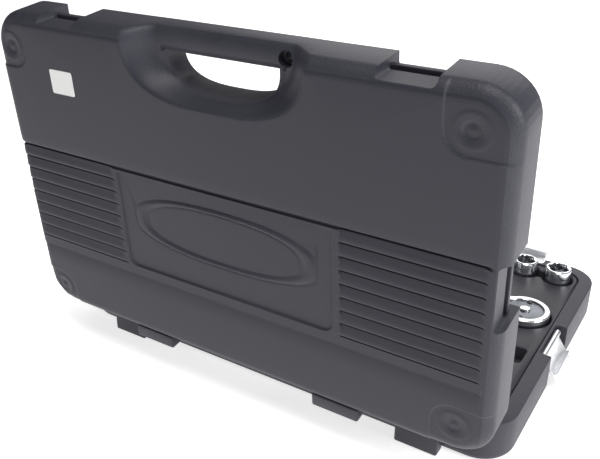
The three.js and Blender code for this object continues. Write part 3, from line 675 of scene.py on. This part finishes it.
label = stacked(label_outline, ((0, lid_depth + 0.05), (0, lid_depth + 0.4), (-0.15, lid_depth + 0.5)))
finish_piece("label_sticker", label, [vinyl], "lid", ["label_plate"], swing, 10)


# ---------------------------------------------------------------- tool tray
# A thin moulded tray that drops into the base, with a well or a slot for each tool, soft
# lips around them and one shared trough along each front row.

tray_top, tray_floor, tray_bottom = base_depth - 1.5, 5.8, 3.4
ratchet_floor, bar_floor = 25.2, 31.9
clearance, lip, tray_sheet = 2, 1.8, 1.8


def place_of(node):
    """A node's middle in plan, its half sizes and its heights, in millimetres."""
    low, high = (point * 1000 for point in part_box(node))
    middle, half = (low + high) / 2, (high - low) / 2
    return middle.x, middle.y, half.x, half.y, low.z, high.z


def well(outline, floor):
    """A hollow with a rounded floor edge and a flared lip."""
    lip_levels = [(lip * (1 - math.cos(a)), tray_top - lip + lip * math.sin(a))
                  for a in (0, 0.5, 1.0, math.pi / 2)]
    floor_levels = [(-2, floor), (-0.6, floor + 0.6), (0, floor + 2)]
    return stacked(outline, [*floor_levels, *lip_levels, (lip, tray_top + 2)])


def round_well(x, y, radius, floor=tray_floor):
    """A well round an upright tool."""
    return well(lambda offset: disc_points(x, y, radius + offset), floor)


def slot_well(x0, x1, y0, y1, floor, radius=5):
    """A well for a tool that lies down."""
    def outline(offset):
        return rounded_rectangle(x0 - offset, x1 + offset, y0 - offset, y1 + offset, radius + offset, 6)
    return well(outline, floor)


socket_names = sorted(n for n in frame["nodes"] if n.startswith("socket_"))
wells = []
for node in [*socket_names, "drive_adapter"]:
    x, y, half_x = place_of(node)[:3]
    wells.append(round_well(x, y, half_x + clearance))
ratchet_x, ratchet_y = place_of("release_button")[:2]
ratchet_left = place_of("ratchet_body")[0] - place_of("ratchet_body")[2]
wells.append(round_well(ratchet_x, ratchet_y, 17))
wells.append(round_well(ratchet_x, ratchet_y, 31.5, ratchet_floor))
wells.append(slot_well(ratchet_x - 75, ratchet_x, ratchet_y - 24, ratchet_y + 24, ratchet_floor, 9))
wells.append(slot_well(ratchet_left - clearance, ratchet_x - 65, ratchet_y - 16.5, ratchet_y + 16.5,
                       ratchet_floor))
bar_x, bar_y, bar_half = place_of("sliding_bar")[:3]
wells.append(slot_well(bar_x - bar_half - 1.5, bar_x + bar_half + 1.5, bar_y - 10.5, bar_y + 10.5,
                       bar_floor))
wells.append(slot_well(bar_x - bar_half + 12.5, bar_x + bar_half - 12.5, bar_y - 20.5, bar_y + 20.5,
                       tray_floor, 9))
for node in ("extension_long", "extension_short"):
    x, y, half_x = place_of(node)[:3]
    wells.append(slot_well(x - half_x - 1.5, x - half_x + 40, y - 18.5, y + 18.5, 7))
    wells.append(slot_well(x - half_x + 20, x + half_x + 1.5, y - 15, y + 15, 9))
row_y = place_of("socket_22mm")[1]
for inner, outer in (("socket_24mm", "socket_22mm"), ("socket_17mm", "socket_23mm")):
    x0, x1 = sorted((place_of(inner)[0], place_of(outer)[0]))
    wells.append(slot_well(x0, x1, row_y - 8, row_y + 8, tray_top - 14, 4))

tray = combine(mouth(fit_gap, tray_bottom, tray_top), wells, "DIFFERENCE")
# The block's flat bottom and outer walls go, and what is left is the sheet's upper face.
outside = []
for f in tray.faces:
    heights = [v.co.z for v in f.verts]
    flat_bottom = f.calc_center_median().z < tray_bottom + 0.1
    upright = abs(f.normal.z) < 0.05 and f.calc_area() > 0
    if flat_bottom or (upright and max(heights) > tray_top - 0.01 and min(heights) < tray_bottom + 0.1):
        outside.append(f)
bmesh.ops.delete(tray, geom=outside, context="FACES")
tray_piece = finish_piece("tool_tray_moulding", tray, [tray_plastic], "base", ["tool_tray"])
sheet_modifier = tray_piece.modifiers.new("moulded thickness", "SOLIDIFY")
sheet_modifier.thickness = tray_sheet / 1000
sheet_modifier.offset = -1
sheet_modifier.use_even_offset = False


# ---------------------------------------------------------------- plated and bright steel
# The tools are forged and turned from alloy steel and bright chrome plated: a mirror
# finish with faint handling haze and hairline scratches. Inner parts are satin or black.


def handling_group():
    """Haze and hairlines on plated metal: a roughness, a height and a tone."""
    group, inputs, outputs = shader_group(
        "handling_marks", {"Clean": 0.08, "Hazy": 0.24, "Line size": 260.0}, ("Roughness", "Height", "Tone"))
    links = group.links
    where = add_node(group, "TexCoord")
    haze = add_node(group, "TexNoise", Scale=55, Detail=6)
    links.new(where.outputs["Object"], haze.inputs["Vector"])
    spread = add_node(group, "MapRange", From_Min=0.4, From_Max=0.72)
    links.new(haze.outputs["Fac"], spread.inputs["Value"])
    rough = add_node(group, "Mix")
    links.new(spread.outputs["Result"], rough.inputs["Factor"])
    links.new(inputs.outputs["Clean"], rough.inputs["A"])
    links.new(inputs.outputs["Hazy"], rough.inputs["B"])
    links.new(rough.outputs["Result"], outputs.inputs["Roughness"])
    stretch = add_node(group, "Mapping", Scale=(1.0, 1.0, 14.0), Rotation=(0.5, 0.3, 0.2))
    links.new(where.outputs["Object"], stretch.inputs["Vector"])
    lines = add_node(group, "TexNoise", Detail=2)
    links.new(inputs.outputs["Line size"], lines.inputs["Scale"])
    links.new(stretch.outputs["Vector"], lines.inputs["Vector"])
    links.new(lines.outputs["Fac"], outputs.inputs["Height"])
    links.new(spread.outputs["Result"], outputs.inputs["Tone"])
    return group


handling_marks = handling_group()


def steel(name, bright, dull, clean, hazy, depth):
    """Metal with the shared handling marks, from a bright to a duller tone."""
    material = bpy.data.materials.new(name)
    material.use_nodes = True
    nodes, links = material.node_tree.nodes, material.node_tree.links
    shader = nodes["Principled BSDF"]
    shader.inputs["Metallic"].default_value = 1.0
    marks = nodes.new("ShaderNodeGroup")
    marks.node_tree = handling_marks
    marks.inputs["Clean"].default_value = clean
    marks.inputs["Hazy"].default_value = hazy
    tone = nodes.new("ShaderNodeMix")
    tone.data_type = "RGBA"
    tone.inputs["A"].default_value = (*bright, 1)
    tone.inputs["B"].default_value = (*dull, 1)
    links.new(marks.outputs["Tone"], tone.inputs["Factor"])
    links.new(tone.outputs["Result"], shader.inputs["Base Color"])
    links.new(marks.outputs["Roughness"], shader.inputs["Roughness"])
    bump = add_node(material.node_tree, "Bump", Distance=depth)
    links.new(marks.outputs["Height"], bump.inputs["Height"])
    links.new(bump.outputs["Normal"], shader.inputs["Normal"])
    return material


chrome = steel("bright_chrome", (0.84, 0.85, 0.87), (0.74, 0.75, 0.77), 0.10, 0.22, 0.0000006)
latch_steel = steel("plated_sheet", (0.90, 0.91, 0.93), (0.80, 0.81, 0.83), 0.34, 0.46, 0.000002)
satin_steel = steel("satin_steel", (0.22, 0.23, 0.25), (0.16, 0.17, 0.19), 0.3, 0.45, 0.000003)
black_steel = steel("black_oxide", (0.10, 0.10, 0.11), (0.06, 0.06, 0.065), 0.35, 0.5, 0.000003)


# ---------------------------------------------------------------- sockets
# Turned and broached sockets: a hexagon with a lead-in chamfer at the top, a square drive
# at the foot, a through hole, a waist between the two ends and a grip groove.


def turned(profile, steps=48, closed=True):
    """Spin (radius, height, sides) points about Z; sides 6 or 4 make that ring a polygon."""
    bm = bmesh.new()
    sides_of = bm.verts.layers.int.new("sides")
    verts = []
    for radius, height, *sides in profile:
        v = bm.verts.new((radius, 0, height))
        v[sides_of] = sides[0] if sides else 0
        verts.append(v)
    pairs = list(zip(verts, verts[1:] + verts[:1])) if closed else list(zip(verts, verts[1:]))
    edges = [bm.edges.new(pair) for pair in pairs]
    bmesh.ops.spin(bm, geom=verts + edges, cent=(0, 0, 0), axis=(0, 0, 1), angle=2 * math.pi,
                   steps=steps, use_merge=True, use_duplicate=False)
    for v in bm.verts:
        if v[sides_of]:
            part = 2 * math.pi / v[sides_of]
            angle = math.atan2(v.co.y, v.co.x) - (math.pi / 4 if v[sides_of] == 4 else 0)
            share = math.cos(part / 2) / math.cos(angle % part - part / 2)
            v.co.x, v.co.y = v.co.x * share, v.co.y * share
    bmesh.ops.remove_doubles(bm, verts=bm.verts, dist=0.001)
    bmesh.ops.recalc_face_normals(bm, faces=bm.faces)
    return bm


drive_square, drive_socket, small_square = 18.8, 19.2, 12.6
female_corner = drive_socket / math.sqrt(2)
male_corner = drive_square / math.sqrt(2)

for node in socket_names:
    flats = int(node[7:9])
    x, y, *_, low, high = place_of(node)
    nose, height = flats * 0.62 + 2.2, high - low
    drive = max(17.5, nose * 0.88)
    hexagon, hole = flats / math.sqrt(3), min(8, flats * 0.42)
    socket = turned((
        (female_corner + 0.9, 0), (drive - 1.3, 0), (drive - 0.3, 0.4), (drive, 1.3), (drive, 7.5),
        (drive - 0.7, 8.1), (drive - 0.7, 10.1), (drive, 10.7), (drive, 20.5),
        (drive + (nose - drive) * 0.12, 23), (drive + (nose - drive) * 0.85, 28), (nose, 30.5),
        (nose, height - 2), (nose - 0.4, height - 0.8), (nose - 1.3, height), (hexagon + 0.25, height),
        (hexagon, height - 0.8, 6), (hexagon, height - 1.2, 6), (hexagon, 33, 6),
        (hexagon - 1.2, 32, 6), (hole + 0.6, 32), (hole, 31.4), (hole, 22.4), (hole + 0.6, 22),
        (female_corner - 0.4, 22, 4), (female_corner, 21.4, 4), (female_corner, 1, 4)))
    finish_piece(f"{node}_turned", socket, [chrome], node, [node],
                 Matrix.Translation((x, y, low)), 28)


# ---------------------------------------------------------------- extension bars and adapter
# Round bars with a square socket at one end and a chamfered male square with a spring
# ball at the other. The adapter steps down to the next smaller square.

along_x = Matrix.Rotation(math.pi / 2, 4, "Y")


def spring_ball(bm, place, radius=2.4):
    """A ball that stands a little out of a drive square's flat."""
    bmesh.ops.create_uvsphere(bm, u_segments=16, v_segments=10, radius=radius,
                              matrix=Matrix.Translation(place))


for node in ("extension_long", "extension_short"):
    x, y, half_x, _, low, high = place_of(node)
    length, end = 2 * half_x, 2 * half_x - 20
    bar = turned((
        (0, 24), (female_corner - 0.5, 24, 4), (female_corner, 23.4, 4), (female_corner, 1, 4),
        (female_corner + 0.9, 0), (15.2, 0), (16.1, 0.4), (16.5, 1.3), (16.5, 10), (15.7, 10.8),
        (15.7, 13.2), (16.5, 14), (16.5, 27.5), (15.9, 29.5), (11.6, 33.2), (10.5, 35.5),
        (10.5, end - 18), (11.2, end - 16.4), (13, end - 14.4), (13, end - 6), (12.4, end - 5.4),
        (12.4, end - 4), (13, end - 3.4), (13, end - 1), (12, end), (male_corner - 1.4, end + 0.02),
        (male_corner, end + 0.6, 4), (male_corner, length - 2, 4), (male_corner - 1.7, length, 4),
        (0, length)),
        closed=False)
    spring_ball(bar, (drive_square / 2 - 1.0, 0, length - 10))
    finish_piece(f"{node}_turned", bar, [chrome], node, [node],
                 Matrix.Translation((x - half_x, y, (low + high) / 2)) @ along_x, 28)

x, y, *_, low, high = place_of("drive_adapter")
small = small_square / math.sqrt(2)
adapter = turned((
    (0, 22), (female_corner - 0.5, 22, 4), (female_corner, 21.4, 4), (female_corner, 1, 4),
    (female_corner + 0.9, 0), (15.8, 0), (16.7, 0.4), (17, 1.3), (17, 12), (16.3, 12.6), (16.3, 14.4),
    (17, 15), (17, 23.5), (16.6, 25), (11.6, 32), (10.6, 33), (small, 33.4, 4), (small, 46.4, 4),
    (small - 1.2, 48, 4), (0, 48)), closed=False)
spring_ball(adapter, (small_square / 2 - 0.8, 0, 41), 1.8)
finish_piece("drive_adapter_turned", adapter, [chrome], "drive_adapter", ["drive_adapter"],
             Matrix.Translation((x, y, low)), 28)


# ---------------------------------------------------------------- sliding T-bar
# A plain round bar with grooved stops near its ends, through a head with its own male
# square that slides along it.

x, y, reach, _, low, high = place_of("sliding_bar")
radius = 9.5
stops = ((radius, -reach + 12), (radius - 0.7, -reach + 12.6), (radius - 0.7, -reach + 15),
         (radius, -reach + 15.6))
t_bar = turned((
    (0, -reach), (radius - 1.4, -reach), (radius - 0.4, -reach + 0.5), (radius, -reach + 1.5), *stops,
    *[(r, -z) for r, z in reversed(stops)], (radius, reach - 1.5), (radius - 0.4, reach - 0.5),
    (radius - 1.4, reach), (0, reach)), closed=False)
bar_axis = (low + high) / 2
finish_piece("sliding_bar_turned", t_bar, [chrome], "sliding_bar", ["sliding_bar"],
             Matrix.Translation((x, y, bar_axis)) @ along_x, 28)

x, y, *_, low, top = place_of("sliding_head")
root = low + 20
t_head = turned((
    (0, low), (male_corner - 1.7, low, 4), (male_corner, low + 2, 4), (male_corner, root - 0.4, 4),
    (14.6, root), (17.4, root), (18.6, root + 0.5), (19, root + 1.6), (19, top - 4.5),
    (18.4, top - 2.2), (16, top - 0.4), (14.5, top), (0, top)), closed=False)
t_head = combine(t_head, [rod_along_x(-30, 30, 0, bar_axis, 9.9, 48)], "DIFFERENCE")
spring_ball(t_head, (drive_square / 2 - 1.0, 0, low + 9))
finish_piece("sliding_head_forged", t_head, [chrome], "sliding_head", ["sliding_head"],
             Matrix.Translation((x, y, 0)), 28)


# ---------------------------------------------------------------- ratchet handle
# A forged round head with a polished rim and a sunk cover, drawn out into a neck and a
# round shaft that ends in a knurled grip.

head_radius, head_low, head_top = 29, 26.5, 54
cover_seat, cover_top = 49.5, head_top - 1.5
lever_x, screw_y, screw_radius = -24, 19, 1.9
handle_z, grip_from, handle_length = 40.25, 340, 484


def arc_points(radius, reach, steps):
    """Points along a circle from one angle to its mirror image."""
    angles = [-reach + 2 * reach * i / steps for i in range(steps + 1)]
    return [(radius * math.cos(a), radius * math.sin(a)) for a in angles]


def pear(offset):
    """The head's circle drawn out into the neck."""
    arc = arc_points(head_radius + offset, math.pi * 0.74, 40)
    (x0, y0), half = arc[-1], 11 + offset
    side = []
    for i in range(1, 9):
        t = i / 8
        side.append((x0 + (-75 - x0) * t, half + (y0 - half) * (1 - t) ** 1.9))
    return arc + side + [(px, -py) for px, py in reversed(side)]


def join(bm, other):
    """Put another mesh into bm as it is."""
    mesh = bpy.data.meshes.new("scratch")
    other.to_mesh(mesh)
    other.free()
    bm.from_mesh(mesh)
    bpy.data.meshes.remove(mesh)


edge_levels = rounding(1.8, 4, head_top)
under_levels = [(offset, head_low + head_top - height) for offset, height in reversed(edge_levels)]
forged = stacked(pear, [*under_levels, *edge_levels])
shaft = turned((
    (0, 60), (11, 60), (11, grip_from - 16), (11.5, grip_from - 12), (13.2, grip_from - 8),
    (13.5, grip_from - 6), (13.5, grip_from - 3), (12.9, grip_from - 2), (12.9, handle_length - 6),
    (13.5, handle_length - 5), (13.5, handle_length - 2.4), (12.8, handle_length - 0.8),
    (11.2, handle_length), (0, handle_length)), closed=False)
to_handle = Matrix.Translation((0, 0, handle_z)) @ Matrix.Rotation(-math.pi / 2, 4, "Y")
bmesh.ops.transform(shaft, matrix=to_handle, verts=shaft.verts)
body = combine(forged, [shaft], "UNION")
cover_recess = ((0, cover_seat), (0, head_top - 0.8), (0.8, head_top), (1.2, head_top + 1))
body = combine(body, [
    disc(0, 0, 16, head_low + 3, head_top + 5, 48), disc(0, 0, 14.6, head_low - 1, head_top, 48),
    stacked(lambda o: disc_points(0, 0, 22 + o), cover_recess),
    block(-37, 0, -11, 11, cover_seat, head_top + 2), block(-35, 0, -8.5, 8.5, head_low + 3, head_top),
    disc(0, screw_y, screw_radius, 34, head_top, 16), disc(0, -screw_y, screw_radius, 34, head_top, 16)],
    "DIFFERENCE")
rows, turns = 150, 96
knurl = turned([(12.6, grip_from - 1), *[(13.2, grip_from - 1 + (handle_length - grip_from - 5) * i / rows)
                                         for i in range(rows + 1)], (12.6, handle_length - 6)], turns * 2)
for v in knurl.verts:
    r, angle = math.hypot(v.co.x, v.co.y), math.atan2(v.co.y, v.co.x)
    if r > 13:
        wave = math.cos(turns / 3 * angle + v.co.z * 1.6) * math.cos(turns / 3 * angle - v.co.z * 1.6)
        share = (13.05 + 0.4 * wave) / r
        v.co.x, v.co.y = v.co.x * share, v.co.y * share
bmesh.ops.transform(knurl, matrix=to_handle, verts=knurl.verts)
join(body, knurl)
on_ratchet = Matrix.Translation((ratchet_x, ratchet_y, 0))
finish_piece("ratchet_handle_forged", body, [chrome], "ratchet", ["ratchet_body"], on_ratchet, 30)


# ---------------------------------------------------------------- ratchet cover, button, lever and screws
# A grey satin cover plate sunk into the head and held by two screws, the bright release
# button at its centre and the direction lever behind it.

def tailed_disc(x, radius, tail, half, cut, steps):
    """A disc at x with a straight tail towards -X that has its corners cut."""
    end = [(tail + cut, half), (tail, half - cut), (tail, cut - half), (tail + cut, -half)]
    arc = arc_points(radius, math.pi - math.asin(half / radius), steps)
    return [(px + x, py) for px, py in arc + end]


cover = stacked(lambda o: tailed_disc(0, 21.6 + o, -36.6 - o, 10.6 + o, 3, 48),
                ((0, cover_seat + 0.3), (0, cover_top - 0.7), (-0.25, cover_top - 0.2), (-0.7, cover_top)))
cover = combine(cover, [disc(0, 0, 6.4, 40, 60, 40), disc(lever_x, 0, 3.4, 40, 60, 24),
                        disc(0, screw_y, screw_radius, 40, 60, 16),
                        disc(0, -screw_y, screw_radius, 40, 60, 16)], "DIFFERENCE")
finish_piece("ratchet_cover_plate", cover, [satin_steel], "ratchet", ["ratchet_cover"],
             on_ratchet, 30)

button = turned((
    (0, 19), (2.2, 19), (3.2, 20.5), (3.2, 51.8), (6, 51.8), (6, head_top), (5.6, head_top + 0.7),
    (4.6, head_top + 1), (3.4, head_top + 0.7), (0, head_top + 0.45)), closed=False)
finish_piece("release_button_turned", button, [chrome], "release_button", ["release_button"],
             on_ratchet, 30)

lever_low, lever_top = cover_top + 0.4, cover_top + 4
lever = stacked(lambda o: tailed_disc(lever_x, 5.5 + o, -11.5 - o, 2.5 + o, 1, 24),
                ((-0.3, lever_low), (0, lever_low + 0.3), (0, lever_top - 1), (-0.3, lever_top - 0.3),
                 (-1, lever_top)))
pin = turned(((0, 31.5), (3, 31.5), (3, lever_low + 0.5), (0, lever_low + 0.5)), closed=False)
bmesh.ops.translate(pin, verts=pin.verts, vec=(lever_x, 0, 0))
lever = combine(lever, [pin], "UNION")
finish_piece("direction_lever_cast", lever, [chrome], "direction_lever", ["direction_lever"],
             on_ratchet, 30)

for node, side in (("cover_screw_front", 1), ("cover_screw_rear", -1)):
    screw = turned(((0, 36), (1.5, 36), (1.5, cover_top + 0.3), (3, cover_top + 0.3), (3, cover_top + 1),
                    (2.6, cover_top + 1.5), (1.6, cover_top + 1.8), (0, cover_top + 1.85)), 24, closed=False)
    screw = combine(screw, [block(-4, 4, -0.35, 0.35, cover_top + 1, cover_top + 3),
                            block(-0.35, 0.35, -4, 4, cover_top + 1, cover_top + 3)], "DIFFERENCE")
    finish_piece(f"{node}_head", screw, [black_steel], "ratchet", [node],
                 on_ratchet @ Matrix.Translation((0, screw_y * side, 0)), 30)


def dress(node, material):
    """Give a piece that keeps its CAD shape a material."""
    slots = frame["nodes"][node].data.materials
    slots.clear()
    slots.append(material)


# The gear with its square drive, pawl, spring, ball and pins keep their own shapes.
for node, material in (("ratchet_gear", chrome), ("ratchet_pawl", black_steel), ("pawl_spring", satin_steel),
                       ("detent_ball", satin_steel), ("hinge_pin_left", satin_steel),
                       ("hinge_pin_right", satin_steel)):
    dress(node, material)


# ---------------------------------------------------------------- latches
# Pressed and plated sheet: a bowed plate with a raised middle, rolled round its pin at
# the foot, with a hook inside that catches the lid.

latch_line = ((3.4, -1), (5.2, 8), (6.4, 18), (6.7, 28), (8.4, 36.5), (10.5, 41))
sheet, plate_run = 1.8, 42
latch_kinds = {  # width, place in plan and the degrees it hangs open
    "front": (45, front_latch_x, front - 9, 70),
    "side": (56, case_width / 2 - 9, side_latch_y, 140),
}


def latch_point(k):
    """A given point of the plate's line, with its ends repeated beyond them."""
    return Vector(latch_line[min(max(k, 0), len(latch_line) - 1)])


def along_plate(t):
    """A point of the plate's outer line, by a smooth curve through its points."""
    place = t * (len(latch_line) - 1)
    i = min(int(place), len(latch_line) - 2)
    f = place - i
    a, b, c, d = (latch_point(i + k) for k in (-1, 0, 1, 2))
    squared, cubed = (2 * a - 5 * b + 4 * c - d) * f * f, (3 * b - a - 3 * c + d) * f ** 3
    return 0.5 * (2 * b + (c - a) * f + squared + cubed)


for node in [n for n in frame["nodes"] if n.startswith("latch_") and "pin" not in n]:
    _, kind, hand = node.split("_")
    width, at_x, at_y, opened = latch_kinds[kind]
    s = 1 if hand == "right" else -1
    turn_z = 0 if kind == "front" else -s * math.pi / 2
    plate = stacked(lambda o: rounded_rectangle(-width / 2 - o, width / 2 + o, -o, plate_run + o, 5 + o, 5),
                    ((-0.4, 1), (0, 1.4), (0, 0.6 + sheet), (-0.4, 1 + sheet)))
    slice_region(plate, 0, spaced(-width / 2 + 2, width / 2 - 2, 3))
    slice_region(plate, 1, spaced(2, plate_run - 2, 1.5))
    for v in plate.verts:
        t = v.co.y / plate_run
        place, inward = along_plate(t), 1 + sheet - v.co.z
        ahead = (along_plate(t + 0.01) - along_plate(t - 0.01)).normalized()
        bow = 1.6 * (1 - (2 * v.co.x / width) ** 2) * ease(v.co.y, 0, 12) - 1.6
        rib_end = 1 - ease(abs(v.co.x), width / 2 - 9, width / 2 - 7)
        rib = 0.5 * (1 - ease(abs(v.co.y - 33), 0.6, 1.8)) * rib_end
        v.co = (v.co.x, place.x - ahead.y * inward + bow + rib, place.y + ahead.x * inward)
    bmesh.ops.recalc_face_normals(plate, faces=plate.faces)
    roll = turned(((1.9, -width / 2), (3.2, -width / 2), (3.5, 0.3 - width / 2), (3.5, width / 2 - 0.3),
                   (3.2, width / 2), (1.9, width / 2)), 32)
    bmesh.ops.transform(roll, matrix=along_x, verts=roll.verts)
    hook = block(-width / 2 + 2, width / 2 - 2, -1, 5.2, hook_low, hook_low + 2, 0.5)
    for extra in (roll, hook):
        join(plate, extra)
    place = (
        Matrix.Translation((s * at_x, at_y, latch_pin_z))
        @ Matrix.Rotation(turn_z, 4, "Z")
        @ Matrix.Rotation(-math.radians(opened), 4, "X")
    )
    finish_piece(f"{node}_pressing", plate, [latch_steel], node, [node], place, 40)
    dress(f"latch_pin_{kind}_{hand}", satin_steel)
